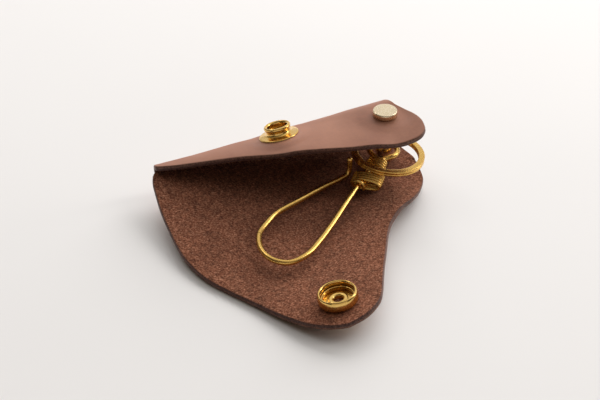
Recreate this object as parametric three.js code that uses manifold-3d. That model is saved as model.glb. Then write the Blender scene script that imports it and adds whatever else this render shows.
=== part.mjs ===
// Key organiser: a folded leather key case with a brass wire hook and a split ring on one post.
// Millimetres, +Z up. Everything is designed around the post's axis on the table, and the whole
// is then moved so that the origin is at the middle of its footprint.
import * as THREE from 'three';
import Module from 'manifold-3d';
import { mergeVertices } from 'three/addons/utils/BufferGeometryUtils.js';

const wasm = await Module();
wasm.setup();

// ---------------------------------------------------------------- driving dimensions
const GAP = 0.3; // clearance between pieces that touch
const LEATHER = 1.8; // leather thickness
const SPINE_ANGLE = THREE.MathUtils.degToRad(14.85); // the fold's direction in plan, from +X

// The back fold, a cone that opens from the creased left end to the post.
const FOLD_LEFT = -78.7; // p of the creased end
const FOLD_POST = 1.15; // p level with the post
const FOLD_Q = 4.35; // q of the fold's foot, behind the post
const CREASE_RADIUS = 1.05; // middle of the leather, at the creased end
const FOLD_RADIUS = 8.95; // middle of the leather, at the post
const LEAF_DEPTH = 21.7; // fold to the leaf's front edge, at the post

// The panel, a shallow dish whose straight lines all meet at the post's foot.
const FOOT_HEIGHT = 3.2; // middle of the leather at the post
const FOOT_FLAT = 8; // radius round the post over which the dish starts
const VALLEY_ANGLE = THREE.MathUtils.degToRad(234); // the dish's lowest line, which meets the table
const VALLEY_FALL = 0.029;
const RISE_BACK = 0.42; // how fast the dish climbs towards the fold
const RISE_FRONT = 0.5; // and towards the flap's right side
const RISE_LIMIT = 0.75; // radians from the valley, after which the lobe levels out

// How the fold and the leaf change along p: each is a list of (p, value) points.
const FOLD_RADII = [
  [-78.7, CREASE_RADIUS], [-55, 3.4], [-38, 5.05], [-26, 6.5], [-17, 7.4], [-9, 8.2], [1.15, FOLD_RADIUS], [10, 9.4],
];
const FOLD_SHIFT = [[-78.7, 0], [-42, 0], [-22, 0.4], [-5, 1.1], [1.15, 1.2], [10, 1.3]]; // to the back
const LEAF_DEPTHS = [
  [-78.7, 2.55], [-60, 7.2], [-48, 10.8], [-36, 15], [-29, 16.6], [-18, 18.5], [-7, 20.2], [1.15, LEAF_DEPTH], [10, 22.6],
];
const LEAF_SLOPES = [[-78.7, 0.3], [-52, 0.33], [-36, 0.34], [-26, 0.26], [-15, 0.14], [-8, 0.07], [1, 0], [10, 0]];
const LEAF_DROPS = [[-78.7, 0], [-52, 1.4], [-36, 3.3], [-26, 2.6], [-15, 1.8], [-8, 1.3], [1, 0.6], [10, 0.6]];

// Outlines in (q, p): q is across the fold, positive to the back, and p is along it.
const LEFT_EDGE = [
  [4.35, -78], [2.5, -79.1], [-1, -79.6], [-8.7, -79.5], [-25, -77.9], [-33.5, -76.4], [-39.8, -74.2],
  [-45, -71.6], [-52.6, -66], [-61, -59.3], [-67.4, -54.6], [-73.3, -49.8], [-76.8, -46.4], [-79.3, -42.8], [-81, -39.2], [-81.7, -36.6],
];
const RIGHT_EDGE = [
  [4.35, 8.2], [-4.4, 10.7], [-12.3, 10.1], [-19.2, 7.1], [-25.6, 2.4], [-31.4, -3.9], [-39.2, -10],
  [-51.6, -15.2], [-62.6, -19.5], [-70, -22.1], [-74.2, -24], [-78, -27.4], [-80.3, -31], [-81.7, -35.8],
];
const FOLD_START = -78; // left end of the fold
const FOLD_END = [[0, 8.2], [0.4, 4.4], [0.8, 3.7], [1, 5.4]]; // right end of the fold, from foot to top
const LEAF_START = [[0, -78], [0.4, -77.8], [0.75, -76.4], [0.93, -73.6], [1, -71]];
const LEAF_END = [
  [0, 5.4], [0.15, 7.4], [0.36, 9.5], [0.58, 10.6], [0.72, 10.3], [0.85, 8.6], [0.93, 5.9], [0.97, 2.3], [1, -4],
];
const FLAP_Q = -51.8; // the flap starts here

// Fasteners.
const POST_RADIUS = 2.75;
const HEAD_RADIUS = 4.1;
const HEAD_HEIGHT = 1.8;
const SCREW_HEAD = 2.0;
const SCREW_SHANK = 1.6;
const STUD_P = -35.6; // the stud's place along the fold
const STUD_V = 0.175; // and across the leaf, as a part of its depth
const SOCKET_P = -35.8;
const SOCKET_Q = -70.1;

// Wire hook and ring.
const WIRE = 0.95; // wire radius
const HOOK_HEIGHT = 7.7; // middle of the wire at the neck
const BOW_HEIGHT = 5.3; // and at the bow
const EYE_RADIUS = 4.7;
const NECK = new THREE.Vector2(-0.325, -0.946).normalize(); // from the post along the neck
const RING_CENTRE = new THREE.Vector3(1.1, -5.7, 10.3);
const RING_INNER = 10.35;
const RING_OUTER = 12.45;
const RING_HEIGHT = 1.85;
const RING_TILT = THREE.MathUtils.degToRad(6);

// ---------------------------------------------------------------- helpers
const v3 = (x, y, z) => new THREE.Vector3(x, y, z);
const blend = (t) => THREE.MathUtils.smoothstep(t, 0, 1);
const { lerp } = THREE.MathUtils;

// A smooth curve y(x) through points, which never swings past them (monotone cubic).
function curveThrough(points) {
  const sorted = [...points].sort((a, b) => a[0] - b[0]);
  const slope = sorted.slice(1).map((b, i) => (b[1] - sorted[i][1]) / (b[0] - sorted[i][0]));
  const tangent = sorted.map((_, i) => {
    if (i === 0) return slope[0];
    if (i === sorted.length - 1) return slope[i - 1];
    if (slope[i - 1] * slope[i] <= 0) return 0;
    return (2 * slope[i - 1] * slope[i]) / (slope[i - 1] + slope[i]);
  });
  return (x) => {
    let i = 0;
    while (i < sorted.length - 2 && x > sorted[i + 1][0]) i += 1;
    const width = sorted[i + 1][0] - sorted[i][0];
    const t = (x - sorted[i][0]) / width;
    const keep = (1 + 2 * t) * (1 - t) ** 2 * sorted[i][1] + t * t * (3 - 2 * t) * sorted[i + 1][1];
    return keep + width * (t * (1 - t) ** 2 * tangent[i] - t * t * (1 - t) * tangent[i + 1]);
  };
}

function toSolid(geometry) {
  const bare = geometry.clone();
  for (const name of Object.keys(bare.attributes)) {
    if (name !== 'position') bare.deleteAttribute(name);
  }
  const merged = mergeVertices(bare, 1e-5);
  const mesh = new wasm.Mesh({
    numProp: 3,
    vertProperties: new Float32Array(merged.attributes.position.array),
    triVerts: new Uint32Array(merged.index.array),
  });
  return new wasm.Manifold(mesh);
}

function toGeometry(solid) {
  const mesh = solid.getMesh();
  const geometry = new THREE.BufferGeometry();
  geometry.setAttribute('position', new THREE.BufferAttribute(new Float32Array(mesh.vertProperties), 3));
  geometry.setIndex(new THREE.BufferAttribute(new Uint32Array(mesh.triVerts), 1));
  geometry.computeVertexNormals();
  return geometry;
}

// A turned piece from an (r, z) outline, about +Z.
function turned(outline, segments = 32) {
  const closed = outline.some(([r]) => r === 0) ? outline : [...outline, outline[0]];
  const lathe = new THREE.LatheGeometry(closed.map(([r, z]) => new THREE.Vector2(r, z)), segments);
  lathe.rotateX(Math.PI / 2);
  const solid = toSolid(lathe);
  if (solid.volume() > 0) return toGeometry(solid);
  const flipped = mergeVertices(bareCopy(lathe), 1e-5);
  flipped.index.array.reverse();
  return toGeometry(toSolid(flipped));
}

function bareCopy(geometry) {
  const copy = geometry.clone();
  copy.deleteAttribute('normal');
  copy.deleteAttribute('uv');
  return copy;
}

function cylinderAlong(frame, radius, length) {
  const cylinder = new THREE.CylinderGeometry(radius, radius, length, 32);
  cylinder.rotateX(Math.PI / 2);
  cylinder.applyMatrix4(frameMatrix(frame));
  return toSolid(cylinder);
}

// A frame is a place and the direction that stands out of it.
function frameMatrix({ origin, normal }) {
  const turn = new THREE.Quaternion().setFromUnitVectors(v3(0, 0, 1), normal);
  return new THREE.Matrix4().compose(origin, turn, v3(1, 1, 1));
}

// ---------------------------------------------------------------- the leather's middle surface
const leftEdge = curveThrough(LEFT_EDGE);
const rightEdge = curveThrough(RIGHT_EDGE);
const foldEnd = curveThrough(FOLD_END);
const leafStart = curveThrough(LEAF_START);
const leafEnd = curveThrough(LEAF_END);
const foldRadius = curveThrough(FOLD_RADII);
const foldShift = curveThrough(FOLD_SHIFT);
const leafDepth = curveThrough(LEAF_DEPTHS);
const leafSlope = curveThrough(LEAF_SLOPES);
const leafDrop = curveThrough(LEAF_DROPS);

function planPoint(p, q, z) {
  const c = Math.cos(SPINE_ANGLE);
  const s = Math.sin(SPINE_ANGLE);
  return v3(p * c - q * s, p * s + q * c, z);
}

function panelHeight(p, q) {
  const { x, y } = planPoint(p, q, 0);
  const angle = THREE.MathUtils.euclideanModulo(Math.atan2(y, x), 2 * Math.PI) - VALLEY_ANGLE;
  const rise = angle > 0 ? RISE_FRONT : RISE_BACK;
  const within = Math.min(Math.abs(angle), RISE_LIMIT);
  const level = angle > RISE_LIMIT ? 1 - blend((angle - RISE_LIMIT) / 0.7) : 1;
  const slope = -VALLEY_FALL + 0.5 * rise * within ** 2 * level;
  return FOOT_HEIGHT + slope * (Math.hypot(x, y, FOOT_FLAT) - FOOT_FLAT);
}

// Cross-section of the fold at p, in the (q, z) plane.
function foldSection(p) {
  const u = (p - FOLD_LEFT) / (FOLD_POST - FOLD_LEFT);
  const radius = foldRadius(p);
  const footQ = FOLD_Q + foldShift(p);
  const foot = panelHeight(p, footQ);
  const footSlope = Math.atan((foot - panelHeight(p, footQ - 1)) * Math.min(1, 1.6 * (1 - u)));
  const q = footQ - radius * Math.sin(footSlope);
  const z = foot + radius * Math.cos(footSlope);
  return { radius, footSlope, leafAngle: Math.atan(leafSlope(p)), q, z, depth: leafDepth(p) };
}

const panelPoint = (p, q) => planPoint(p, q, panelHeight(p, q));

function foldPoint(p, t) {
  const section = foldSection(p);
  const angle = lerp(section.footSlope - Math.PI / 2, Math.PI / 2 - section.leafAngle, t);
  const q = section.q + section.radius * Math.cos(angle);
  return planPoint(p, q, section.z + section.radius * Math.sin(angle));
}

function leafPoint(p, v) {
  const section = foldSection(p);
  const startQ = section.q + section.radius * Math.sin(section.leafAngle);
  const startZ = section.z + section.radius * Math.cos(section.leafAngle);
  const length = startQ - (FOLD_Q - section.depth);
  return planPoint(p, startQ - length * v, startZ + leafSlope(p) * length * v - leafDrop(p) * v * v);
}

function frameOn(surface, a, b, outward) {
  const origin = surface(a, b);
  const alongP = surface(a + 0.5, b).sub(surface(a - 0.5, b));
  const step = surface === leafPoint ? -0.02 : 0.5;
  const across = surface(a, b + step).sub(surface(a, b - step));
  const normal = alongP.cross(across).normalize().multiplyScalar(outward);
  return { origin, normal };
}

const studOnLeaf = frameOn(leafPoint, STUD_P, STUD_V, 1);
const socketOnFlap = frameOn(panelPoint, SOCKET_P, SOCKET_Q, 1);
const leafAtPost = leafPoint(0, 0.25).z;
const up = v3(0, 0, 1);

// The leather is pressed flat where a fastener clamps it.
const PANEL_CLAMPS = [
  { origin: v3(0, 0, FOOT_HEIGHT), normal: up, inner: 4.6, outer: 11 },
  { ...socketOnFlap, inner: 6.4, outer: 13 },
];
const LEAF_CLAMPS = [
  { origin: v3(0, 0, leafAtPost), normal: up, inner: 4.4, outer: 11 },
  { ...studOnLeaf, inner: 6.8, outer: 11.5 },
];

function clamped(point, clamps, share = 1) {
  for (const { origin, normal, inner, outer } of clamps) {
    const offset = point.clone().sub(origin);
    const height = offset.dot(normal);
    const radius = offset.addScaledVector(normal, -height).length();
    const press = 1 - blend((radius - inner) / (outer - inner));
    point.addScaledVector(normal, -height * press * share);
  }
  return point;
}

// Rows run along the fold. A row gives the point at the fraction f of its way from left to right.
const panelRow = (q) => (f) => {
  const p = lerp(leftEdge(q), rightEdge(q), f);
  const shift = foldShift(p) * blend((q + 12) / (FOLD_Q + 12));
  return clamped(panelPoint(p, q + shift), PANEL_CLAMPS);
};
const leafRow = (v) => (f) => clamped(leafPoint(lerp(leafStart(v), leafEnd(v), f), v), LEAF_CLAMPS);
const foldRow = (t) => (f) => {
  const point = foldPoint(lerp(FOLD_START, foldEnd(t), f), t);
  return clamped(point, LEAF_CLAMPS, blend((t - 0.6) / 0.4));
};
const spread = (count, from, to, ease = (t) => t) =>
  Array.from({ length: count }, (_, i) => lerp(from, to, ease(i / (count - 1))));

// A closed slab of leather about a grid of middle points.
function leatherSlab(rows, columns) {
  const fractions = spread(columns, 0, 1, (t) => t + 0.05 * Math.sin(2 * Math.PI * t) * -1);
  const grid = rows.map((row) => fractions.map((f) => row(f)));
  const last = { row: rows.length - 1, column: columns - 1 };
  const positions = [];
  for (const side of [1, -1]) {
    grid.forEach((line, j) => line.forEach((point, i) => {
      const along = line[Math.min(i + 1, last.column)].clone().sub(line[Math.max(i - 1, 0)]);
      const above = grid[Math.max(j - 1, 0)][i];
      const below = grid[Math.min(j + 1, last.row)][i];
      const normal = along.cross(below.clone().sub(above)).normalize();
      positions.push(...point.clone().addScaledVector(normal, (side * LEATHER) / 2).toArray());
    }));
  }
  const at = (side, j, i) => side * rows.length * columns + j * columns + i;
  const index = [];
  const quad = (a, b, c, d) => index.push(a, b, c, a, c, d);
  for (let j = 0; j < last.row; j += 1) {
    for (let i = 0; i < last.column; i += 1) {
      quad(at(0, j, i), at(0, j, i + 1), at(0, j + 1, i + 1), at(0, j + 1, i));
      quad(at(1, j, i), at(1, j + 1, i), at(1, j + 1, i + 1), at(1, j, i + 1));
    }
    quad(at(0, j, 0), at(0, j + 1, 0), at(1, j + 1, 0), at(1, j, 0));
    quad(at(0, j, last.column), at(1, j, last.column), at(1, j + 1, last.column), at(0, j + 1, last.column));
  }
  for (let i = 0; i < last.column; i += 1) {
    quad(at(0, 0, i), at(1, 0, i), at(1, 0, i + 1), at(0, 0, i + 1));
    quad(at(0, last.row, i), at(0, last.row, i + 1), at(1, last.row, i + 1), at(1, last.row, i));
  }
  const slab = new THREE.BufferGeometry();
  slab.setAttribute('position', new THREE.Float32BufferAttribute(positions, 3));
  slab.setIndex(index);
  return toSolid(slab);
}

// ---------------------------------------------------------------- leather pieces
const HOLE = 0.35; // how much wider a hole in the leather is than what passes through it

function makeLeatherPanel() {
  const rows = [
    ...spread(15, FLAP_Q + GAP / 2, FOLD_Q).slice(0, -1).map(panelRow),
    ...spread(11, 0, 1).map(foldRow),
    ...spread(9, 0, 1, (t) => 1 - (1 - t) ** 1.5).slice(1).map(leafRow),
  ];
  const post = cylinderAlong({ origin: v3(0, 0, 10), normal: up }, POST_RADIUS + HOLE, 60);
  const eyelet = cylinderAlong(studOnLeaf, 2.2 + HOLE, 8);
  return toGeometry(leatherSlab(rows, 22).subtract(post).subtract(eyelet));
}

function makeLeatherFlap() {
  const last = LEFT_EDGE.at(-1)[0];
  const rows = spread(11, last, FLAP_Q - GAP / 2, (t) => t ** 1.5).map(panelRow);
  return toGeometry(leatherSlab(rows, 16).subtract(cylinderAlong(socketOnFlap, 2.2 + HOLE, 8)));
}

// ---------------------------------------------------------------- the post
function makePostBarrel() {
  const head = leafAtPost + LEATHER / 2 + GAP;
  const top = head + HEAD_HEIGHT;
  const bottom = FOOT_HEIGHT - LEATHER / 2 + GAP;
  return turned([
    [0, top], [3.45, top], [HEAD_RADIUS, top - 0.45], [HEAD_RADIUS, head], [POST_RADIUS, head],
    [POST_RADIUS, bottom], [1.9, bottom], [1.9, 17], [0, 17],
  ]);
}

function makePostScrew() {
  const screw = toSolid(turned([
    [0, 14], [SCREW_SHANK, 14], [SCREW_SHANK, SCREW_HEAD], [HEAD_RADIUS, SCREW_HEAD],
    [HEAD_RADIUS, 0.4], [3.6, 0], [0, 0],
  ]));
  const slot = new THREE.BoxGeometry(1.1, 12, 1.6);
  slot.rotateZ(0.6);
  return toGeometry(screw.subtract(toSolid(slot)));
}

// ---------------------------------------------------------------- the snap
// Outlines are (r, z) with z = 0 on the leather's face and z up out of it.
const EYELET_RADIUS = 2.2;
const SNAP_STUD = [
  [2.5, 0.3], [6.75, 0.3], [6.75, 0.55], [5.2, 0.7], [4.25, 0.95], [4.05, 1.3], [4.05, 2.3], [4.5, 2.7],
  [4.55, 3.2], [4.3, 3.6], [3.9, 3.75], [3.5, 3.6], [3.3, 3.2], [3.3, 0.9], [2.5, 0.9],
];
const STUD_EYELET = [
  [1.5, -2.55], [4.8, -2.5], [4.9, -2.1], [EYELET_RADIUS, -2.1], [EYELET_RADIUS, 1.2], [2.95, 1.2],
  [2.95, 1.5], [2.3, 1.7], [1.5, 1.5],
];
const SNAP_SOCKET = [
  [2.5, 0.3], [5.5, 0.3], [6.05, 0.7], [6.25, 1.6], [6.2, 2.9], [6.0, 3.6], [5.7, 3.9], [5.4, 3.85],
  [5.15, 3.5], [5.15, 2.5], [5.35, 2.3], [5.35, 1.1], [5.0, 0.75], [2.5, 0.75],
];
const SOCKET_SPRING = [[4.72, 1.3], [5.05, 1.3], [5.05, 2.1], [4.72, 2.1]];
const SNAP_CAP = [
  [0, -3.3], [3, -3.25], [5.1, -3.0], [6.2, -2.5], [6.3, -2.2], [6.2, -2.1], [EYELET_RADIUS, -2.1],
  [EYELET_RADIUS, 1.05], [3.0, 1.05], [3.05, 1.3], [2.4, 1.5], [1.5, 1.3], [1.5, -2.4], [0, -2.4],
];

function onLeather(outline, frame) {
  const surface = { origin: frame.origin.clone().addScaledVector(frame.normal, LEATHER / 2), normal: frame.normal };
  return turned(outline).applyMatrix4(frameMatrix(surface));
}

// ---------------------------------------------------------------- hook and ring
const neckPoint = (along, across, z) => v3(NECK.x * along - NECK.y * -across, NECK.y * along + NECK.x * -across, z);

function wireTube(points, steps, radius = WIRE) {
  const path = new THREE.CatmullRomCurve3(points, false, 'centripetal');
  const section = new THREE.Shape();
  section.absarc(0, 0, radius, 0, 2 * Math.PI);
  const tube = new THREE.ExtrudeGeometry(section, { steps, bevelEnabled: false, extrudePath: path, curveSegments: 4 });
  return toGeometry(toSolid(tube));
}

const EYE_ENDS = 5.8; // along the neck, where the eye's two ends come together
const LEG_HALF = 1.0; // half the distance between the two legs in the neck
const BOW = [
  v3(-12.2, -26.2, 7.0), v3(-17.4, -37.6, 5.9), v3(-22.4, -47.8, BOW_HEIGHT), v3(-26.6, -54.8, BOW_HEIGHT),
  v3(-31.8, -58.4, BOW_HEIGHT), v3(-36.9, -56.9, BOW_HEIGHT), v3(-40.6, -51.4, BOW_HEIGHT),
  v3(-41.3, -43.9, BOW_HEIGHT), v3(-38.9, -37.6, BOW_HEIGHT),
];
const GATE_HINGE = v3(-36.1, -33.1, 5.5);
const GATE = [
  v3(-35.2, -32.2, 5.5), v3(-29, -26.9, 6.0), v3(-20, -19.1, 6.5), v3(-15.2, -15.2, 6.5),
  v3(-12.7, -13.2, 7.0), v3(-12.0, -12.6, 8.8), v3(-12.0, -12.5, 12.6),
];

function makeHookWire() {
  const eye = spread(15, 325, 35).map((degrees) => {
    const turn = THREE.MathUtils.degToRad(degrees);
    return neckPoint(EYE_RADIUS * Math.cos(turn), EYE_RADIUS * Math.sin(turn), HOOK_HEIGHT);
  });
  return wireTube([
    neckPoint(15.5, -LEG_HALF, HOOK_HEIGHT), neckPoint(11, -LEG_HALF, HOOK_HEIGHT),
    neckPoint(EYE_ENDS + 0.6, -LEG_HALF - 0.1, HOOK_HEIGHT), ...eye,
    neckPoint(EYE_ENDS + 0.6, LEG_HALF + 0.1, HOOK_HEIGHT), neckPoint(11, LEG_HALF, HOOK_HEIGHT),
    neckPoint(15.5, 1.4, HOOK_HEIGHT), neckPoint(21.4, 2.1, HOOK_HEIGHT - 0.1),
    ...BOW, GATE_HINGE,
  ], 84);
}

// A wrap of wire round the neck: a ribbed sleeve, oval across the legs.
function makeWrap(along, turns, pitch, halfWidth, halfHeight, hole) {
  const length = turns * pitch;
  const outer = [];
  for (let k = 0; k < turns; k += 1) {
    outer.push([0.88, -length / 2 + (k + 0.05) * pitch], [1, -length / 2 + (k + 0.4) * pitch]);
    outer.push([0.97, -length / 2 + (k + 0.8) * pitch]);
  }
  const outline = [[hole, -length / 2], ...outer, [hole, length / 2]];
  const sleeve = turned(outline.map(([r, z]) => [r * halfHeight, z]), 22);
  sleeve.scale(halfWidth / halfHeight, 1, 1);
  const across = v3(-NECK.y, NECK.x, 0);
  const basis = new THREE.Matrix4().makeBasis(across, up, v3(NECK.x, NECK.y, 0));
  basis.setPosition(neckPoint(along, 0, HOOK_HEIGHT));
  return sleeve.applyMatrix4(basis);
}

function makeWrapTail() {
  return wireTube([
    neckPoint(22.45, 4.6, 6.9), neckPoint(22.45, 4.2, 8.3), neckPoint(22.45, 3.1, 9.25),
    neckPoint(22.45, 1.6, 9.3), neckPoint(22.45, 0.55, 8.5), neckPoint(22.45, 0.25, 7.3), neckPoint(22.45, 0.3, 6.3),
  ], 16, 0.55);
}

function makeSplitRing() {
  const half = RING_HEIGHT / 2;
  const ring = turned([
    [RING_INNER, -half + 0.2], [RING_INNER + 0.2, -half], [RING_OUTER - 0.2, -half], [RING_OUTER, -half + 0.2],
    [RING_OUTER, half - 0.2], [RING_OUTER - 0.2, half], [RING_INNER + 0.2, half], [RING_INNER, half - 0.2],
  ], 48);
  return ring.rotateY(RING_TILT).translate(RING_CENTRE.x, RING_CENTRE.y, RING_CENTRE.z);
}

// ---------------------------------------------------------------- assembly
const grain = new THREE.MeshStandardMaterial({ color: 0x6b4636, roughness: 0.55 });
const brass = new THREE.MeshStandardMaterial({ color: 0xc79a45, roughness: 0.28, metalness: 1 });
const brassTurned = new THREE.MeshStandardMaterial({ color: 0xd9c08a, roughness: 0.3, metalness: 1 });

const organiser = new THREE.Group();
const design = new THREE.Group();
organiser.add(design);

function add(name, geometry, material) {
  const mesh = new THREE.Mesh(geometry, material.clone());
  mesh.name = name;
  design.add(mesh);
}

add('leather_panel', makeLeatherPanel(), grain);
add('leather_flap', makeLeatherFlap(), grain);
add('post_barrel', makePostBarrel(), brassTurned);
add('post_screw', makePostScrew(), brassTurned);
add('snap_stud', onLeather(SNAP_STUD, studOnLeaf), brass);
add('stud_eyelet', onLeather(STUD_EYELET, studOnLeaf), brass);
add('snap_socket', onLeather(SNAP_SOCKET, socketOnFlap), brass);
add('socket_spring', onLeather(SOCKET_SPRING, socketOnFlap), brass);
add('snap_cap', onLeather(SNAP_CAP, socketOnFlap), brass);
add('hook_wire', makeHookWire(), brass);
add('hook_gate', wireTube(GATE, 30), brass);
add('eye_wrap', makeWrap(9.6, 4, 1.25, 3.75, 2.05, 0.68), brass);
add('neck_wrap', makeWrap(18.6, 4, 1.5, 5.4, 2.1, 0.66), brass);
add('wrap_tail', makeWrapTail(), brass);
add('split_ring', makeSplitRing(), brass);

// The origin goes to the middle of the footprint.
const box = new THREE.Box3().setFromObject(design);
const middle = box.getCenter(v3(0, 0, 0));
design.position.set(-middle.x, -middle.y, -box.min.z);

export default organiser;
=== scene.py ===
import math

import bpy
import bmesh
import numpy as np
from mathutils import Matrix, Quaternion, Vector


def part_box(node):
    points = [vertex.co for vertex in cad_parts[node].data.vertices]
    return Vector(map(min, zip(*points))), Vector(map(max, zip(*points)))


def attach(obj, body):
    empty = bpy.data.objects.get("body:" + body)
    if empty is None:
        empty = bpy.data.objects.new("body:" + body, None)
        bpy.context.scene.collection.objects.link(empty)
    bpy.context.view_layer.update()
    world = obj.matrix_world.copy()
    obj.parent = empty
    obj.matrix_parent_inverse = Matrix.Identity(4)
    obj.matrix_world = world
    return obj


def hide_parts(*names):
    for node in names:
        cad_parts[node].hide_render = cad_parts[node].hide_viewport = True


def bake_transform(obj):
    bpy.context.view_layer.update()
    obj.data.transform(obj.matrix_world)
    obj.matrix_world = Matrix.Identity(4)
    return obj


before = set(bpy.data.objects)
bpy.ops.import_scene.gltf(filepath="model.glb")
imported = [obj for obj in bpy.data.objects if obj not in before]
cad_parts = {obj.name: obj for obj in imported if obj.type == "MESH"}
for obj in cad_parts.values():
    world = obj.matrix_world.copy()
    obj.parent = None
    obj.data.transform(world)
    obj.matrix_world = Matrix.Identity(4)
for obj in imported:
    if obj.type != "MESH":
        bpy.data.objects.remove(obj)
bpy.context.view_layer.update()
low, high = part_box("post_barrel")
POST = np.array([(low[0] + high[0]) / 2, (low[1] + high[1]) / 2, 0.0]) * 1000.0
HEAD_TOP = high[2] * 1000.0
MM = 0.001

# ------------------------------------------------------------------ dimensions
# These are the CAD part's, except LEAF_DROPS: the leaf's front edge hangs up to 0.7 mm less here.
LEATHER = 1.8
SPINE_ANGLE = math.radians(14.85)
FOLD_LEFT, FOLD_POST, FOLD_Q = -78.7, 1.15, 4.35
LEAF_DEPTH = 21.7
FOOT_HEIGHT, FOOT_FLAT = 3.2, 8.0
VALLEY_ANGLE = math.radians(234)
VALLEY_FALL, RISE_BACK, RISE_FRONT, RISE_LIMIT = 0.029, 0.42, 0.5, 0.75
FOLD_RADII = [
    (-78.7, 1.05), (-55, 3.4), (-38, 5.05), (-26, 6.5), (-17, 7.4), (-9, 8.2), (1.15, 8.95), (10, 9.4),
]
FOLD_SHIFT = [(-78.7, 0), (-42, 0), (-22, 0.4), (-5, 1.1), (1.15, 1.2), (10, 1.3)]
LEAF_DEPTHS = [
    (-78.7, 2.55), (-60, 7.2), (-48, 10.8), (-36, 15), (-29, 16.6), (-18, 18.5), (-7, 20.2), (1.15, 21.7),
    (10, 22.6),
]
LEAF_SLOPES = [(-78.7, 0.3), (-52, 0.33), (-36, 0.34), (-26, 0.26), (-15, 0.14), (-8, 0.07), (1, 0), (10, 0)]
LEAF_DROPS = [(-78.7, 0), (-52, 1.4), (-36, 2.6), (-26, 2.5), (-15, 1.8), (-8, 1.0), (1, 0.6), (10, 0.6)]
LEFT_EDGE = [
    (4.35, -78), (2.5, -79.1), (-1, -79.6), (-8.7, -79.5), (-25, -77.9), (-33.5, -76.4), (-39.8, -74.2),
    (-45, -71.6), (-52.6, -66), (-61, -59.3), (-67.4, -54.6), (-73.3, -49.8), (-76.8, -46.4), (-79.3, -42.8),
    (-81, -39.2), (-81.7, -36.6),
]
RIGHT_EDGE = [
    (4.35, 8.2), (-4.4, 10.7), (-12.3, 10.1), (-19.2, 7.1), (-25.6, 2.4), (-31.4, -3.9), (-39.2, -10),
    (-51.6, -15.2), (-62.6, -19.5), (-70, -22.1), (-74.2, -24), (-78, -27.4), (-80.3, -31), (-81.7, -35.8),
]
FOLD_START = -78
FOLD_END = [(0, 8.2), (0.4, 4.4), (0.8, 3.7), (1, 5.4)]
LEAF_START = [(0, -78), (0.4, -77.8), (0.75, -76.4), (0.93, -73.6), (1, -71)]
LEAF_END = [
    (0, 5.4), (0.15, 7.4), (0.36, 9.5), (0.58, 10.6), (0.72, 10.3), (0.85, 8.6), (0.93, 5.9), (0.97, 2.3),
    (1, -4),
]
STUD_P, STUD_V = -35.6, 0.175
SOCKET_P, SOCKET_Q = -35.8, -70.1
BEND_P, BEND_FROM_Q, BEND_TO_Q = -36, -31.0, -51.9  # where the leather bends when the flap closes
HOOK_HEIGHT, WIRE, EYE_RADIUS = 7.7, 0.95, 4.7
NECK = np.array([-0.325, -0.946, 0.0])
NECK /= np.linalg.norm(NECK)
RING_CENTRE = np.array([1.1, -5.7, 10.3])
RING_INNER, RING_OUTER, RING_TILT = 10.35, 12.45, math.radians(6)
RING_THICK = 0.45  # half of one turn's thickness
UP = np.array([0.0, 0.0, 1.0])


# ------------------------------------------------------------------ curves
def smooth(t):
    t = np.clip(t, 0, 1)
    return t * t * (3 - 2 * t)


def curve_through(points):
    """A smooth y(x) that never swings past its points, as in the CAD part."""
    pts = np.array(sorted(points), float)
    x, y = pts[:, 0], pts[:, 1]
    slope = np.diff(y) / np.diff(x)
    tangent = np.zeros(len(x))
    tangent[0], tangent[-1] = slope[0], slope[-1]
    for i in range(1, len(x) - 1):
        if slope[i - 1] * slope[i] > 0:
            tangent[i] = 2 * slope[i - 1] * slope[i] / (slope[i - 1] + slope[i])

    def value(at):
        at = np.asarray(at, float)
        i = np.clip(np.searchsorted(x, at, side="right") - 1, 0, len(x) - 2)
        w = x[i + 1] - x[i]
        t = (at - x[i]) / w
        keep = (1 + 2 * t) * (1 - t) ** 2 * y[i] + t * t * (3 - 2 * t) * y[i + 1]
        return keep + w * (t * (1 - t) ** 2 * tangent[i] - t * t * (1 - t) * tangent[i + 1])

    return value


def spline(points, per_span=24):
    """A centripetal Catmull-Rom curve through points, as dense points."""
    pts = [np.asarray(p, float) for p in points]
    pts = [2 * pts[0] - pts[1]] + pts + [2 * pts[-1] - pts[-2]]
    out = []
    for i in range(1, len(pts) - 2):
        p0, p1, p2, p3 = pts[i - 1:i + 3]
        d0, d1, d2 = [max(np.linalg.norm(b - a), 1e-6) ** 0.5 for a, b in ((p0, p1), (p1, p2), (p2, p3))]
        m1 = ((p1 - p0) / d0 - (p2 - p0) / (d0 + d1) + (p2 - p1) / d1) * d1
        m2 = ((p2 - p1) / d1 - (p3 - p1) / (d1 + d2) + (p3 - p2) / d2) * d1
        for t in np.arange(per_span) / per_span:
            h = (2 * p1 - 2 * p2 + m1 + m2) * t ** 3 + (-3 * p1 + 3 * p2 - 2 * m1 - m2) * t ** 2
            out.append(h + m1 * t + p1)
    out.append(pts[-2])
    return np.array(out)


def resample(points, step):
    points = np.asarray(points, float)
    length = np.concatenate([[0], np.cumsum(np.linalg.norm(np.diff(points, axis=0), axis=1))])
    count = max(2, int(round(length[-1] / step)) + 1)
    at = np.linspace(0, length[-1], count)
    return np.stack([np.interp(at, length, points[:, k]) for k in range(3)], 1)


# ------------------------------------------------------------------ meshes
def in_row(point):
    """A point in mm about the post's foot, in the row frame's metres."""
    return (np.asarray(point) + POST) * MM


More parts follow.
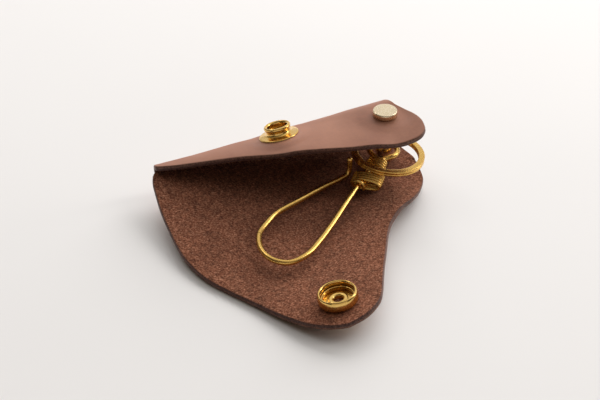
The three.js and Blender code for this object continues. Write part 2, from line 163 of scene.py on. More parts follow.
def make_object(name, vertices, faces, placement=None):
    """A mesh object. Vertices are mm: about the post's foot, or local if a placement is given."""
    mesh = bpy.data.meshes.new(name)
    vertices = np.asarray(vertices, float)
    if placement is None:
        vertices = vertices + POST
    mesh.from_pydata((vertices * MM).tolist(), [], [list(map(int, f)) for f in faces])
    mesh.validate()
    mesh.update()
    mesh.shade_smooth()
    obj = bpy.data.objects.new(name, mesh)
    bpy.context.scene.collection.objects.link(obj)
    if placement is not None:
        origin, turn = placement
        place = Matrix.Translation(Vector(in_row(origin)))
        obj.matrix_world = place @ turn.to_matrix().to_4x4()
    return obj


def turn_to(normal):
    return Vector((0, 0, 1)).rotation_difference(Vector(normal))


def rounded(profile, radius=0.2, steps=4, closed=True):
    """An (r, z) outline with its corners rounded."""
    pts = [np.array(p, float) for p in profile]
    n = len(pts)
    out = []
    for i, p in enumerate(pts):
        if not closed and i in (0, n - 1):
            out.append(p)
            continue
        a, b = pts[i - 1] - p, pts[(i + 1) % n] - p
        la, lb = np.linalg.norm(a), np.linalg.norm(b)
        cut = min(radius, 0.45 * la, 0.45 * lb)
        a, b = p + a / la * cut, p + b / lb * cut
        for t in np.linspace(0, 1, steps + 1):
            out.append((1 - t) ** 2 * a + 2 * t * (1 - t) * p + t * t * b)
    return out


LATHE_SIDES = 96


def lathe(name, profile, placement, closed=True):
    """A turned piece. An open profile starts and ends on the axis."""
    verts, faces = [], []
    ring = []
    for r, z in profile:
        if r < 1e-6:
            ring.append([len(verts)] * LATHE_SIDES)
            verts.append((0, 0, z))
            continue
        ring.append(list(range(len(verts), len(verts) + LATHE_SIDES)))
        for k in range(LATHE_SIDES):
            a = 2 * math.pi * k / LATHE_SIDES
            verts.append((r * math.cos(a), r * math.sin(a), z))
    pairs = list(zip(ring, ring[1:])) + ([(ring[-1], ring[0])] if closed else [])
    for lower, upper in pairs:
        for k in range(LATHE_SIDES):
            m = (k + 1) % LATHE_SIDES
            face = [lower[k], lower[m], upper[m], upper[k]]
            face = [v for j, v in enumerate(face) if v != face[j - 1]]
            if len(face) > 2:
                faces.append(face)
    obj = make_object(name, verts, faces, placement)
    outward(obj)
    return obj


def outward(obj):
    bm = bmesh.new()
    bm.from_mesh(obj.data)
    bmesh.ops.recalc_face_normals(bm, faces=bm.faces)
    bm.to_mesh(obj.data)
    bm.free()


ROUND_CAP_ANGLES = [math.radians(a) for a in (85, 65, 45, 25)]
CUT_CHAMFER, CUT_SCALE = 0.06, 0.86


def sweep(name, path, section, up=None, caps="round"):
    """A section, as (across, up) points, carried along a path with the least twist.

    Its ends are domed if caps is "round", slightly chamfered if "cut", and plain if "flat"."""
    path = np.asarray(path, float)
    n, m = len(path), len(section)
    tangent = np.gradient(path, axis=0)
    tangent /= np.linalg.norm(tangent, axis=1)[:, None]
    verts = []
    side = None
    rings = []
    first, last = path[0], path[-1]
    radius = max(np.linalg.norm(s) for s in section)
    stations = [(i, path[i], 1.0) for i in range(n)]
    if caps == "round":
        head, tail = [], []
        for a in ROUND_CAP_ANGLES:
            head.append((0, first - tangent[0] * radius * math.sin(a), math.cos(a)))
            tail.insert(0, (n - 1, last + tangent[-1] * radius * math.sin(a), math.cos(a)))
        stations = head + stations + tail
    if caps == "cut":
        head = (0, first - tangent[0] * CUT_CHAMFER, CUT_SCALE)
        tail = (n - 1, last + tangent[-1] * CUT_CHAMFER, CUT_SCALE)
        stations = [head] + stations + [tail]
    for i, centre, scale in stations:
        t = tangent[i]
        if up is not None:
            side = np.cross(t, up)
        elif side is None:
            side = np.cross(t, UP if abs(t[2]) < 0.9 else np.array([1.0, 0, 0]))
        side = side - t * (side @ t)
        side = side / np.linalg.norm(side)
        over = np.cross(side, t)
        rings.append(len(verts))
        for a, b in section:
            verts.append(centre + scale * (side * a + over * b))
    faces = []
    for r in range(len(rings) - 1):
        for k in range(m):
            j = (k + 1) % m
            faces.append((rings[r] + k, rings[r] + j, rings[r + 1] + j, rings[r + 1] + k))
    for base, order in ((rings[0], -1), (rings[-1], 1)):
        centre = len(verts)
        verts.append(np.mean([verts[base + k] for k in range(m)], axis=0))
        for k in range(m):
            j = (k + 1) % m
            faces.append((base + k, base + j, centre)[::order])
    obj = make_object(name, verts, faces)
    outward(obj)
    return obj


def circle(radius, sides):
    angles = [2 * math.pi * k / sides for k in range(sides)]
    return [(radius * math.cos(a), radius * math.sin(a)) for a in angles]


# ------------------------------------------------------------------ the leather's middle surface
left_edge, right_edge = curve_through(LEFT_EDGE), curve_through(RIGHT_EDGE)
fold_end, leaf_start, leaf_end = curve_through(FOLD_END), curve_through(LEAF_START), curve_through(LEAF_END)
fold_radius, fold_shift = curve_through(FOLD_RADII), curve_through(FOLD_SHIFT)
leaf_depth, leaf_slope, leaf_drop = (curve_through(c) for c in (LEAF_DEPTHS, LEAF_SLOPES, LEAF_DROPS))
COS, SIN = math.cos(SPINE_ANGLE), math.sin(SPINE_ANGLE)


def plan_point(p, q, z):
    p, q, z = np.broadcast_arrays(np.asarray(p, float), q, z)
    return np.stack([p * COS - q * SIN, p * SIN + q * COS, z], -1)


def panel_height(p, q):
    xyz = plan_point(p, q, 0.0)
    x, y = xyz[..., 0], xyz[..., 1]
    angle = np.mod(np.arctan2(y, x), 2 * math.pi) - VALLEY_ANGLE
    rise = np.where(angle > 0, RISE_FRONT, RISE_BACK)
    within = np.minimum(np.abs(angle), RISE_LIMIT)
    level = np.where(angle > RISE_LIMIT, 1 - smooth((angle - RISE_LIMIT) / 0.7), 1.0)
    slope = -VALLEY_FALL + 0.5 * rise * within ** 2 * level
    return FOOT_HEIGHT + slope * (np.sqrt(x * x + y * y + FOOT_FLAT ** 2) - FOOT_FLAT)


def fold_section(p):
    p = np.asarray(p, float)
    u = (p - FOLD_LEFT) / (FOLD_POST - FOLD_LEFT)
    radius = fold_radius(p)
    foot_q = FOLD_Q + fold_shift(p)
    foot = panel_height(p, foot_q)
    foot_slope = np.arctan((foot - panel_height(p, foot_q - 1)) * np.minimum(1, 1.6 * (1 - u)))
    return {
        "radius": radius, "foot": foot_slope, "slope": leaf_slope(p), "leaf": np.arctan(leaf_slope(p)),
        "q": foot_q - radius * np.sin(foot_slope), "z": foot + radius * np.cos(foot_slope),
        "depth": leaf_depth(p),
    }


def panel_point(p, q):
    return plan_point(p, q, panel_height(p, q))


def fold_point(p, t):
    s = fold_section(p)
    angle = (s["foot"] - math.pi / 2) * (1 - t) + (math.pi / 2 - s["leaf"]) * t
    return plan_point(p, s["q"] + s["radius"] * np.cos(angle), s["z"] + s["radius"] * np.sin(angle))


def leaf_point(p, v):
    s = fold_section(p)
    start_q = s["q"] + s["radius"] * np.sin(s["leaf"])
    start_z = s["z"] + s["radius"] * np.cos(s["leaf"])
    length = start_q - (FOLD_Q - s["depth"])
    return plan_point(p, start_q - length * v, start_z + s["slope"] * length * v - leaf_drop(p) * v * v)


def frame_on(surface, a, b):
    step = -0.02 if surface is leaf_point else 0.5
    along = surface(a + 0.5, b) - surface(a - 0.5, b)
    across = surface(a, b + step) - surface(a, b - step)
    normal = np.cross(along, across)
    return surface(a, b), normal / np.linalg.norm(normal)


STUD = frame_on(leaf_point, STUD_P, STUD_V)
SOCKET = frame_on(panel_point, SOCKET_P, SOCKET_Q)
LEAF_AT_POST = float(leaf_point(0.0, 0.25)[2])
PANEL_CLAMPS = [((0, 0, FOOT_HEIGHT), UP, 4.6, 11), (*SOCKET, 6.4, 13)]
LEAF_CLAMPS = [((0, 0, LEAF_AT_POST), UP, 4.4, 11), (*STUD, 6.8, 11.5)]


def clamped(points, clamps, share=1.0):
    for origin, normal, inner, outer in clamps:
        offset = points - np.asarray(origin, float)
        height = offset @ normal
        radius = np.linalg.norm(offset - height[..., None] * normal, axis=-1)
        press = 1 - smooth((radius - inner) / (outer - inner))
        points = points - (height * press * share)[..., None] * normal
    return points


# ------------------------------------------------------------------ leather
ROUND = 0.5  # how far in from its edge the leather thins to a rounded rim
RIM = np.array([0, 0.01, 0.035, 0.08, 0.15, 0.24, 0.36, 0.52, 0.8])  # rows and columns near the rim
RIM_POWER = 3.2  # the rim's roundness: 2 is a circle, more is squarer
COLUMNS, FOLD_ROWS = 150, 34
PANEL_STEP, LEAF_STEP = 0.8, 0.036  # in mm, and in shares of the leaf's depth
SHIFT_FADE = 12  # how far in front of the post's line the fold's shift has faded out


def lay_out(first, last, step, rim_first=True, rim_last=True, unit=1.0):
    """Positions from first to last, close together at a rim."""
    span = abs(last - first)
    near = RIM * unit * min(1.0, span / (8 * RIM[-1] * unit))
    a = near if rim_first else np.array([0.0])
    b = near if rim_last else np.array([0.0])
    inner = span - a[-1] - b[-1]
    middle = a[-1] + np.linspace(0, inner, max(3, int(round(inner / step)) + 1))
    at = np.concatenate([a[:-1], middle, (span - b[:-1])[::-1]])
    return first + np.sign(last - first) * at


def row_fractions(width):
    near = RIM * min(1.0, width / (8 * RIM[-1])) / width
    count = COLUMNS - 2 * (len(RIM) - 1)
    middle = np.linspace(near[-1], 1 - near[-1], count)
    return np.concatenate([near[:-1], middle, (1 - near[:-1])[::-1]])


def leather_grid():
    rows = []
    tip = LEFT_EDGE[-1][0]
    for q in lay_out(tip, FOLD_Q, PANEL_STEP, True, False)[:-1]:
        a, b = float(left_edge(q)), float(right_edge(q))
        p = a + (b - a) * row_fractions(b - a)
        shift = fold_shift(p) * float(smooth((q + SHIFT_FADE) / (FOLD_Q + SHIFT_FADE)))
        rows.append(clamped(panel_point(p, q + shift), PANEL_CLAMPS))
    for t in np.linspace(0, 1, FOLD_ROWS)[:-1]:
        a, b = FOLD_START, float(fold_end(t))
        f = row_fractions(b - a)
        rows.append(clamped(fold_point(a + (b - a) * f, t), LEAF_CLAMPS, smooth((t - 0.6) / 0.4)))
    for v in lay_out(0.0, 1.0, LEAF_STEP, False, True, 1 / LEAF_DEPTH):
        a, b = float(leaf_start(v)), float(leaf_end(v))
        f = row_fractions(b - a)
        rows.append(clamped(leaf_point(a + (b - a) * f, v), LEAF_CLAMPS))
    return np.array(rows)


def distance_to_edge(grid):
    """Each grid point's distance to the nearest stretch of the leather's outline."""
    lines = [grid[:, 0], grid[:, -1], grid[0], grid[-1]]
    starts = np.concatenate([line[:-1] for line in lines])
    spans = np.concatenate([np.diff(line, axis=0) for line in lines])
    squares = np.maximum((spans ** 2).sum(1), 1e-12)
    flat = grid.reshape(-1, 3)
    out = np.empty(len(flat))
    for i in range(0, len(flat), 2000):
        offset = flat[i:i + 2000, None] - starts[None]
        t = np.clip((offset * spans[None]).sum(2) / squares, 0, 1)
        out[i:i + 2000] = np.sqrt(((offset - t[..., None] * spans[None]) ** 2).sum(2).min(1))
    return out.reshape(grid.shape[:2])


def make_leather():
    grid = leather_grid()
    rows, columns = grid.shape[:2]
    along = np.gradient(grid, axis=1)
    down = np.gradient(grid, axis=0)
    normal = np.cross(along, down)
    normal /= np.maximum(np.linalg.norm(normal, axis=2), 1e-9)[..., None]
    if normal[rows // 3, columns // 2, 2] < 0:
        normal = -normal
    distance = distance_to_edge(grid)
    inward = 1 - np.clip(distance / ROUND, 0, 1)
    half = (LEATHER / 2) * (1 - inward ** RIM_POWER) ** (1 / RIM_POWER)
    flesh = grid + normal * half[..., None]
    grain = grid - normal * half[..., None]
    index = np.arange(rows * columns).reshape(rows, columns)
    edge = np.zeros((rows, columns), bool)
    edge[0] = edge[-1] = True
    edge[:, 0] = edge[:, -1] = True
    below = index + rows * columns
    below[edge] = index[edge]
    faces, slots = [], []
    for which, sheet in ((0, index), (1, below)):
        a, b, c, d = sheet[:-1, :-1], sheet[:-1, 1:], sheet[1:, 1:], sheet[1:, :-1]
        quads = np.stack([a, b, c, d], -1).reshape(-1, 4)
        faces.extend(quads if which == 0 else quads[:, ::-1])
        slots.extend([which] * len(quads))
    verts = np.concatenate([flesh.reshape(-1, 3), grain.reshape(-1, 3)])
    obj = make_object("leather_case", verts, faces)
    rim = np.concatenate([distance.ravel(), distance.ravel()])
    obj.data.attributes.new("rim", "FLOAT", "POINT").data.foreach_set("value", rim.astype(np.float32))
    obj.data.polygons.foreach_set("material_index", np.array(slots, np.int32))
    bm = bmesh.new()
    bm.from_mesh(obj.data)
    loose = [v for v in bm.verts if not v.link_faces]
    bmesh.ops.delete(bm, geom=loose, context="VERTS")
    bmesh.ops.recalc_face_normals(bm, faces=bm.faces)
    bm.to_mesh(obj.data)
    bm.free()
    return obj


# ------------------------------------------------------------------ materials
class Nodes:
    """Short ways to wire up a material's nodes."""

    def __init__(self, name):
        self.material = bpy.data.materials.new(name)
        self.material.use_nodes = True
        self.tree = self.material.node_tree
        self.bsdf = self.tree.nodes["Principled BSDF"]

    def add(self, kind, **values):
        node = self.tree.nodes.new(kind)
        for key, value in values.items():
            if hasattr(node, key):
                setattr(node, key, value)
            else:
                node.inputs[key.replace("_", " ")].default_value = value
        return node

    def link(self, a, b):
        self.tree.links.new(a, b)

    def set(self, **values):
        for key, value in values.items():
            self.bsdf.inputs[key.replace("_", " ")].default_value = value

    def ramp(self, source, stops):
        node = self.tree.nodes.new("ShaderNodeValToRGB")
        ramp = node.color_ramp
        while len(ramp.elements) < len(stops):
            ramp.elements.new(0.5)
        for element, (at, colour) in zip(ramp.elements, stops):
            element.position = at
            element.color = (*colour, 1) if isinstance(colour, tuple) else (colour, colour, colour, 1)
        self.link(source, node.inputs[0])
        return node.outputs[0]

    def mix(self, factor, a, b, blend="MIX"):
        node = self.tree.nodes.new("ShaderNodeMix")
        node.data_type = "RGBA"
        node.blend_type = blend
        for socket, value in ((node.inputs[0], factor), (node.inputs[6], a), (node.inputs[7], b)):
            if hasattr(value, "is_output"):
                self.link(value, socket)
            elif isinstance(value, tuple):
                socket.default_value = (*value, 1)
            else:
                socket.default_value = value
        return node.outputs[2]

    def noise(self, vector, scale, detail=2.0, roughness=0.5, distortion=0.0):
        node = self.add("ShaderNodeTexNoise", Scale=scale, Detail=detail, Roughness=roughness,
                        Distortion=distortion)
        self.link(vector, node.inputs["Vector"])
        return node.outputs["Fac"]

    def bump(self, height, strength, distance, normal=None):
        node = self.add("ShaderNodeBump", Strength=strength, Distance=distance)
        self.link(height, node.inputs["Height"])
        if normal is not None:
            self.link(normal, node.inputs["Normal"])
        return node.outputs["Normal"]


def edge_factor(n, first, last):
    rim = n.add("ShaderNodeAttribute", attribute_name="rim").outputs["Fac"]
    return n.ramp(rim, [(first, 0.0), (last, 1.0)])


def leather_flesh():
    n = Nodes("leather_flesh")
    where = n.add("ShaderNodeTexCoord").outputs["Object"]
    stretch = n.add("ShaderNodeMapping")
    stretch.inputs["Rotation"].default_value = (0, 0, 0.5)
    stretch.inputs["Scale"].default_value = (1, 1.25, 1)
    n.link(where, stretch.inputs["Vector"])
    fibre = n.noise(stretch.outputs["Vector"], 1700, 3, 0.62, 0.4)
    tuft = n.noise(where, 700, 2, 0.55)
    cloud = n.noise(where, 55, 3, 0.5)
    colour = n.ramp(fibre, [(0.3, (0.045, 0.0125, 0.0065)), (0.45, (0.155, 0.052, 0.027)),
                            (0.57, (0.27, 0.108, 0.06)), (0.74, (0.5, 0.25, 0.155))])
    patch = n.ramp(tuft, [(0.32, 0.66), (0.5, 1.0), (0.7, 1.2)])
    shade = n.ramp(cloud, [(0.3, 0.84), (0.7, 1.1)])
    colour = n.mix(1.0, colour, patch, "MULTIPLY")
    colour = n.mix(1.0, colour, shade, "MULTIPLY")
    burnish = edge_factor(n, 0.1, 0.42)
    edge = n.ramp(fibre, [(0.38, (0.05, 0.022, 0.017)), (0.62, (0.14, 0.066, 0.05))])
    colour = n.mix(burnish, edge, colour)
    n.link(colour, n.bsdf.inputs["Base Color"])
    n.link(n.ramp(burnish, [(0.0, 0.45), (1.0, 0.95)]), n.bsdf.inputs["Roughness"])
    n.set(Specular_IOR_Level=0.2, Sheen_Weight=0.1, Sheen_Roughness=0.5)
    n.bsdf.inputs["Sheen Tint"].default_value = (0.9, 0.66, 0.52, 1)
    height = n.mix(0.45, fibre, tuft)
    n.link(n.bump(height, 0.55, 0.00022), n.bsdf.inputs["Normal"])
    return n.material


def leather_grain():
    n = Nodes("leather_grain")
    where = n.add("ShaderNodeTexCoord").outputs["Object"]
    pore = n.add("ShaderNodeTexVoronoi", Scale=1900.0, Randomness=1.0)
    n.link(where, pore.inputs["Vector"])
    fine = n.noise(where, 900, 4, 0.6)
    cloud = n.noise(where, 48, 4, 0.55, 0.6)
    colour = n.ramp(cloud, [(0.32, (0.262, 0.11, 0.066)), (0.68, (0.352, 0.16, 0.098))])
    colour = n.mix(0.14, colour, n.ramp(fine, [(0.35, (0.13, 0.05, 0.032)), (0.65, (0.36, 0.165, 0.105))]))
    burnish = edge_factor(n, 0.08, 0.32)
    fibre = n.noise(where, 1700, 3, 0.62, 0.4)
    edge = n.ramp(fibre, [(0.38, (0.075, 0.03, 0.019)), (0.62, (0.21, 0.095, 0.06))])
    colour = n.mix(burnish, edge, colour)
    n.link(colour, n.bsdf.inputs["Base Color"])
    n.link(n.ramp(fine, [(0.3, 0.42), (0.7, 0.54)]), n.bsdf.inputs["Roughness"])
    n.set(Specular_IOR_Level=0.34)
    first = n.bump(pore.outputs["Distance"], 0.1, 0.0001)
    n.link(n.bump(cloud, 0.08, 0.0006, first), n.bsdf.inputs["Normal"])
    return n.material


def brass(name, colour, dull, roughness, streak=None):
    """Brass with dull patches. A streak scale adds the fine rings that a lathe leaves."""
    n = Nodes(name)
    where = n.add("ShaderNodeTexCoord").outputs["Object"]
    cloud = n.noise(where, 260, 3, 0.6)
    fine = n.noise(where, 2400, 2, 0.5)
    n.link(n.mix(n.ramp(cloud, [(0.35, 0.0), (0.75, 0.55)]), colour, dull), n.bsdf.inputs["Base Color"])
    n.link(n.ramp(fine, [(0.3, roughness * 0.85), (0.75, roughness * 1.25)]), n.bsdf.inputs["Roughness"])
    n.set(Metallic=1.0)
    if streak:
        wave = n.add("ShaderNodeTexWave", wave_type="RINGS", rings_direction="Z", Scale=streak,
                     Distortion=0.6, Detail=2.0, Detail_Scale=1.5)
        n.link(where, wave.inputs["Vector"])
        height = n.mix(0.75, fine, wave.outputs["Fac"])
        n.link(n.bump(height, 0.16, 0.00005), n.bsdf.inputs["Normal"])
        n.set(Anisotropic=0.72)
        tangent = n.add("ShaderNodeTangent", direction_type="RADIAL", axis="Z")
        n.link(tangent.outputs["Tangent"], n.bsdf.inputs["Tangent"])
    else:
        n.link(n.bump(fine, 0.07, 0.00006), n.bsdf.inputs["Normal"])
    return n.material


def floor_material():
    n = Nodes("floor")
    where = n.add("ShaderNodeTexCoord").outputs["Object"]
    colour = n.ramp(n.noise(where, 5, 2, 0.5), [(0.3, (0.775, 0.762, 0.752)), (0.7, (0.795, 0.782, 0.772))])
    n.link(colour, n.bsdf.inputs["Base Color"])
    n.set(Roughness=0.85, Specular_IOR_Level=0.15)
    return n.material


FLESH, GRAIN = leather_flesh(), leather_grain()
WIRE_BRASS = brass("brass_wire", (0.8, 0.5, 0.14), (0.6, 0.34, 0.08), 0.26)
PRESSED_BRASS = brass("brass_pressed", (0.84, 0.55, 0.17), (0.62, 0.37, 0.1), 0.18)
TURNED_BRASS = brass("brass_turned", (0.88, 0.74, 0.52), (0.76, 0.6, 0.39), 0.24, streak=900)
PLAIN_BRASS = brass("brass_plain", (0.8, 0.63, 0.36), (0.62, 0.46, 0.24), 0.28)


def finish_piece(obj, material, body, slot, *nodes):
    obj.data.materials.append(material)
    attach(obj, body)
    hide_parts(*nodes)


leather = make_leather()
leather.data.materials.append(FLESH)
leather.data.materials.append(GRAIN)
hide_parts("leather_panel", "leather_flap")
bend_start = in_row(plan_point(BEND_P, BEND_FROM_Q, 3))
bend_end = in_row(plan_point(BEND_P, BEND_TO_Q, 3))
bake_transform(leather)


# ------------------------------------------------------------------ the post
HEAD = LEAF_AT_POST + LEATHER / 2
HEAD_RADIUS, BARREL_RADIUS, BORE_RADIUS, SHANK_RADIUS = 4.1, 2.75, 1.9, 1.6
BARREL_FOOT, BORE_TOP, SHANK_TOP, SCREW_HEAD = 2.6, 17, 14, 2.0
UPRIGHT = ((0, 0, 0), Quaternion())
barrel = [
    (0, HEAD_TOP), (3.5, HEAD_TOP), (3.9, HEAD_TOP - 0.1), (HEAD_RADIUS, HEAD_TOP - 0.42),
    (HEAD_RADIUS, HEAD + 0.25), (3.95, HEAD), (BARREL_RADIUS, HEAD), (BARREL_RADIUS, BARREL_FOOT),
    (BORE_RADIUS, BARREL_FOOT), (BORE_RADIUS, BORE_TOP), (0, BORE_TOP),
]
post = lathe("post_body", rounded(barrel, 0.16, 5, closed=False), UPRIGHT, closed=False)
finish_piece(post, TURNED_BRASS, "post", "brass_turned", "post_barrel")

screw = [
    (0, SHANK_TOP), (SHANK_RADIUS, SHANK_TOP), (SHANK_RADIUS, SCREW_HEAD), (HEAD_RADIUS, SCREW_HEAD),
    (HEAD_RADIUS, 0.45), (3.6, 0), (0, 0),
]
bolt = lathe("post_bolt", rounded(screw, 0.12, 3, closed=False), UPRIGHT, closed=False)
SLOT_CUT, SLOT_ANGLE = (1.1, 12, 1.6), 0.6
cutter_mesh = bpy.data.meshes.new("slot_cutter")
bm = bmesh.new()
bmesh.ops.create_cube(bm, size=MM)
bmesh.ops.scale(bm, vec=SLOT_CUT, verts=bm.verts)
bm.to_mesh(cutter_mesh)
bm.free()
cutter = bpy.data.objects.new("slot_cutter", cutter_mesh)
bpy.context.scene.collection.objects.link(cutter)
cutter.matrix_world = Matrix.Translation(Vector(POST * MM)) @ Matrix.Rotation(SLOT_ANGLE, 4, "Z")
cut = bolt.modifiers.new("slot", "BOOLEAN")
cut.object = cutter
cut.operation = "DIFFERENCE"
bpy.context.view_layer.update()
cut_mesh = bpy.data.meshes.new_from_object(bolt.evaluated_get(bpy.context.evaluated_depsgraph_get()))
bolt.modifiers.clear()
bolt.data = cut_mesh
bpy.data.objects.remove(cutter)
finish_piece(bolt, PLAIN_BRASS, "post", "brass_turned", "post_screw")


# ------------------------------------------------------------------ the snap
def on_leather(name, profile, place, radius, closed):
    origin, normal = place
    face = np.asarray(origin) + normal * (LEATHER / 2)
    return lathe(name, rounded(profile, radius, 4, closed=closed), (face, turn_to(normal)), closed=closed)


stud_profile = [
    (2.5, 0.1), (6.6, 0.02), (6.75, 0.16), (6.6, 0.42), (5.4, 0.62), (4.5, 0.85), (4.12, 1.25), (4.0, 1.75),
    (4.08, 2.25), (4.42, 2.62), (4.55, 3.05), (4.42, 3.5), (4.05, 3.74), (3.7, 3.66), (3.42, 3.35),
    (3.3, 2.9), (3.3, 0.9), (2.5, 0.9),
]
eyelet_profile = [
    (1.5, -2.55), (4.7, -2.5), (4.9, -2.2), (4.75, -1.95), (2.2, -1.9), (2.2, 1.15), (2.95, 1.2), (3.0, 1.45),
    (2.6, 1.68), (1.9, 1.7), (1.5, 1.45),
]
socket_profile = [
    (2.5, 0.1), (5.3, 0.06), (5.85, 0.3), (6.18, 0.85), (6.25, 1.7), (6.2, 2.7), (6.12, 3.3), (5.95, 3.7),
    (5.65, 3.9), (5.4, 3.82), (5.2, 3.5), (5.15, 3.0), (5.15, 2.5), (5.35, 2.28), (5.35, 1.1),
    (4.9, 0.75), (2.5, 0.7),
]
spring_profile = [(4.72, 1.3), (5.2, 1.25), (5.2, 2.15), (4.72, 2.1)]
cap_profile = [
    (0, -3.3), (2.6, -3.27), (4.6, -3.08), (5.7, -2.78), (6.25, -2.4), (6.2, -2.05), (5.9, -1.9), (2.2, -1.9),
    (2.2, 0.9), (3.0, 1.0), (3.08, 1.28), (2.6, 1.5), (1.95, 1.45), (1.5, 1.1), (1.5, -2.4), (0, -2.4),
]

# An outline's points are (radius, height over the leather's face that the piece sits on).
for name, node, profile, place, body, radius, closed in (
    ("stud_body", "snap_stud", stud_profile, STUD, "case", 0.14, True),
    ("stud_back", "stud_eyelet", eyelet_profile, STUD, "case", 0.14, True),
    ("socket_body", "snap_socket", socket_profile, SOCKET, "flap", 0.14, True),
    ("socket_grip", "socket_spring", spring_profile, SOCKET, "flap", 0.2, True),
    ("socket_cap", "snap_cap", cap_profile, SOCKET, "flap", 0.14, False),
):
    piece = on_leather(name, profile, place, radius, closed)
    finish_piece(piece, PRESSED_BRASS, body, "brass_pressed", node)


# ------------------------------------------------------------------ the hook
ACROSS = np.array([NECK[1], -NECK[0], 0.0])


def neck_point(along, across, z):
    return NECK * along + ACROSS * across + UP * z


BOW = [
    (-12.2, -26.2, 7.0), (-17.4, -37.6, 5.9), (-22.4, -47.8, 5.3), (-26.6, -54.8, 5.3), (-31.8, -58.4, 5.3),
    (-36.9, -56.9, 5.3), (-40.6, -51.4, 5.3), (-41.3, -43.9, 5.3), (-38.9, -37.6, 5.3),
]
GATE_HINGE = (-36.1, -33.1, 5.5)
GATE = [
    (-35.2, -32.2, 5.5), (-29, -26.9, 6.0), (-20, -19.1, 6.5), (-15.2, -15.2, 6.5), (-12.7, -13.2, 7.0),
    (-12.0, -12.6, 8.8), (-12.0, -12.5, 12.6),
]
LEG = 1.0  # half the distance between the middles of the two legs, near the eye
BOW_END = 7  # the point of BOW where the hook's wire is parted from the gate's
WIRE_SIDES, COIL_SIDES = 24, 16
eye = [neck_point(EYE_RADIUS * math.cos(a), EYE_RADIUS * math.sin(a), HOOK_HEIGHT)
       for a in np.radians(np.linspace(325, 35, 15))]
wire_points = [
    neck_point(15.5, -LEG, 7.7), neck_point(11, -LEG, 7.7), neck_point(6.4, -LEG - 0.1, 7.7), *eye,
    neck_point(6.4, LEG + 0.1, 7.7), neck_point(11, LEG, 7.7), neck_point(15.5, 1.4, 7.7),
    neck_point(21.4, 2.1, 7.6),
    *BOW, GATE_HINGE, *GATE[1:],
]
whole = resample(spline(wire_points), 0.35)
split = int(np.argmin(np.linalg.norm(whole - np.array(BOW[BOW_END]), axis=1)))
hook = sweep("hook_bow", whole[:split + 1], circle(WIRE, WIRE_SIDES), caps="flat")
finish_piece(hook, WIRE_BRASS, "hook", "brass_wire", "hook_wire")
gate = sweep("hook_leg", whole[split:], circle(WIRE, WIRE_SIDES), caps="round")
gate.data.materials.append(WIRE_BRASS)
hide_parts("hook_gate")
hinge = np.array(GATE_HINGE)
lead = np.array(GATE[1]) - hinge
lead /= np.linalg.norm(lead)
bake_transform(gate)


STEPS_PER_TURN = 56
SQUARENESS = 2.5  # of a coil's outline across the legs: 2 is an ellipse
JOIN = 14  # how many points at a coil's end are redrawn to lead into its tail


def wrap(name, first, last, turns, half_width, half_height, radius, start_angle, tail=()):
    """A real coil of wire round the neck, oval across the legs and a little uneven."""
    steps = int(turns * STEPS_PER_TURN)
    path = []
    for k in range(steps + 1):
        t = k / steps
        a = start_angle + 2 * math.pi * turns * t
        c, s = math.cos(a), math.sin(a)
        wobble = 1 + 0.02 * math.sin(3.1 * a + 1.3) + 0.015 * math.sin(1.7 * a)
        x = half_width * wobble * math.copysign(abs(c) ** (2 / SQUARENESS), c)
        z = half_height * wobble * math.copysign(abs(s) ** (2 / SQUARENESS), s)
        path.append(neck_point(first + (last - first) * t, x, HOOK_HEIGHT + z))
    path = np.array(path)
    if len(tail):
        joined = np.array([path[-JOIN], path[-JOIN // 2], path[-1], *[neck_point(*p) for p in tail]])
        path = np.concatenate([path[:-JOIN], spline(joined, JOIN)])
    return sweep(name, resample(path, 0.3), circle(radius, COIL_SIDES), caps="cut")


COIL_TAIL = [
    (21.9, 4.5, 8.2), (22.35, 3.2, 9.25), (22.5, 1.7, 9.35), (22.5, 0.6, 8.6), (22.5, 0.25, 7.4),
    (22.5, 0.3, 6.4),
]
eye_coil = wrap("eye_coil", 7.2, 12.1, turns=4.1, half_width=3.15, half_height=1.5, radius=0.5,
                start_angle=0.6)
finish_piece(eye_coil, WIRE_BRASS, "hook", "brass_wire", "eye_wrap")
neck_coil = wrap("neck_coil", 15.8, 21.5, turns=4.5, half_width=4.75, half_height=1.52, radius=0.52,
                 start_angle=2.4, tail=COIL_TAIL)
finish_piece(neck_coil, WIRE_BRASS, "hook", "brass_wire", "neck_wrap", "wrap_tail")


# ------------------------------------------------------------------ the split ring
def make_split_ring():
    """Two turns of flat wire, which cross from the lower to the upper layer at the split."""
    middle = (RING_INNER + RING_OUTER) / 2
    wide, thick = (RING_OUTER - RING_INNER) / 2, RING_THICK
    section = rounded([(-wide, -thick), (wide, -thick), (wide, thick), (-wide, thick)], 0.34, 4)
    path = []
    for a in np.linspace(0, 4 * math.pi - 0.12, 300):
        lift = smooth((a - 2 * math.pi + 0.55) / 0.5) * 2 - 1
        path.append((middle * math.cos(a + 2.2), middle * math.sin(a + 2.2), float(lift) * (thick + 0.015)))
    path = np.array(path)
    obj = sweep("key_ring", path - POST, section, up=UP, caps="cut")
    obj.matrix_world = Matrix.Translation(Vector(in_row(RING_CENTRE))) @ Matrix.Rotation(RING_TILT, 4, "Y")
    return obj


ring = make_split_ring()
finish_piece(ring, WIRE_BRASS, "ring", "brass_wire", "split_ring")


# ------------------------------------------------------------------ floor, light and camera
floor_mesh = bpy.data.meshes.new("floor")
floor_mesh.from_pydata([(-4, -4, 0), (4, -4, 0), (4, 6, 0), (-4, 6, 0)], [], [(0, 1, 2, 3)])
floor = bpy.data.objects.new("floor", floor_mesh)
bpy.context.scene.collection.objects.link(floor)
floor.location.z = -0.0001
floor_mesh.materials.append(floor_material())


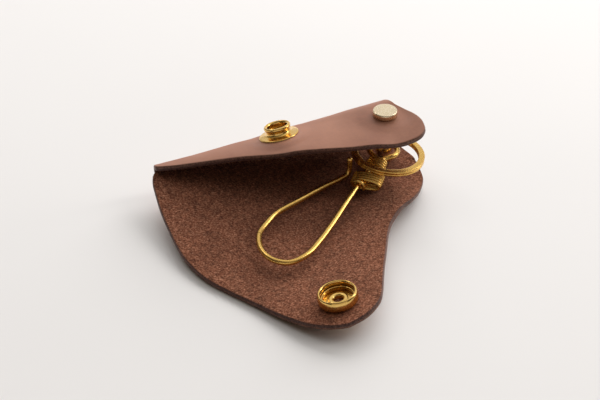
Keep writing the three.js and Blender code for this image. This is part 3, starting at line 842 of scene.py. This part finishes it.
def area_light(name, place, size, power, colour):
    """A rectangular light that faces the origin."""
    light = bpy.data.lights.new(name, "AREA")
    light.shape = "RECTANGLE"
    light.size, light.size_y = size
    light.energy = power
    light.color = colour
    obj = bpy.data.objects.new(name, light)
    bpy.context.scene.collection.objects.link(obj)
    obj.location = place
    obj.rotation_euler = (-Vector(place)).to_track_quat("-Z", "Y").to_euler()
    return obj


window = area_light("window", (0.4, 1.25, 0.6), (1.7, 0.9), 34, (1, 0.99, 0.99))
window.visible_glossy = False  # the metal mirrors the room's gradient and the smaller lights instead
area_light("strip", (1.1, 0.35, 0.6), (0.22, 1.0), 4.4, (1, 0.97, 0.93))
area_light("lamp", (-0.8, 0.75, 1.1), (0.3, 0.3), 1.1, (1, 0.97, 0.93))
card = area_light("card", (0.1, -0.9, 0.3), (1.6, 0.6), 1.6, (1, 0.96, 0.9))
card.visible_diffuse = False  # a reflector seen only in the metal

world = bpy.data.worlds.new("studio")
bpy.context.scene.world = world
world.use_nodes = True
sky = world.node_tree
direction = sky.nodes.new("ShaderNodeTexCoord").outputs["Generated"]
towards = sky.nodes.new("ShaderNodeVectorMath")
towards.operation = "DOT_PRODUCT"
sky.links.new(direction, towards.inputs[0])
towards.inputs[1].default_value = (0.25, 0.72, 0.65)
room = sky.nodes.new("ShaderNodeValToRGB")
room.color_ramp.elements[0].position = 0.12
room.color_ramp.elements[0].color = (0.12, 0.095, 0.07, 1)
room.color_ramp.elements[1].position = 0.8
room.color_ramp.elements[1].color = (1.3, 1.29, 1.28, 1)
middle = room.color_ramp.elements.new(0.45)
middle.color = (0.38, 0.345, 0.31, 1)
sky.links.new(towards.outputs["Value"], room.inputs[0])
sky.links.new(room.outputs[0], sky.nodes["Background"].inputs["Color"])
sky.nodes["Background"].inputs["Strength"].default_value = 0.68

camera_data = bpy.data.cameras.new("camera")
camera_data.lens = 90
camera_data.sensor_width = 36
camera = bpy.data.objects.new("camera", camera_data)
bpy.context.scene.collection.objects.link(camera)
eye_place = Vector(in_row([-28.43, -422.6, 293.9]))
look_at = Vector(in_row([-28.43, -18.09, 0.0]))
camera.location = eye_place
camera.rotation_euler = (look_at - eye_place).to_track_quat("-Z", "Y").to_euler()
bpy.context.scene.camera = camera
bpy.context.scene.view_settings.view_transform = "Standard"
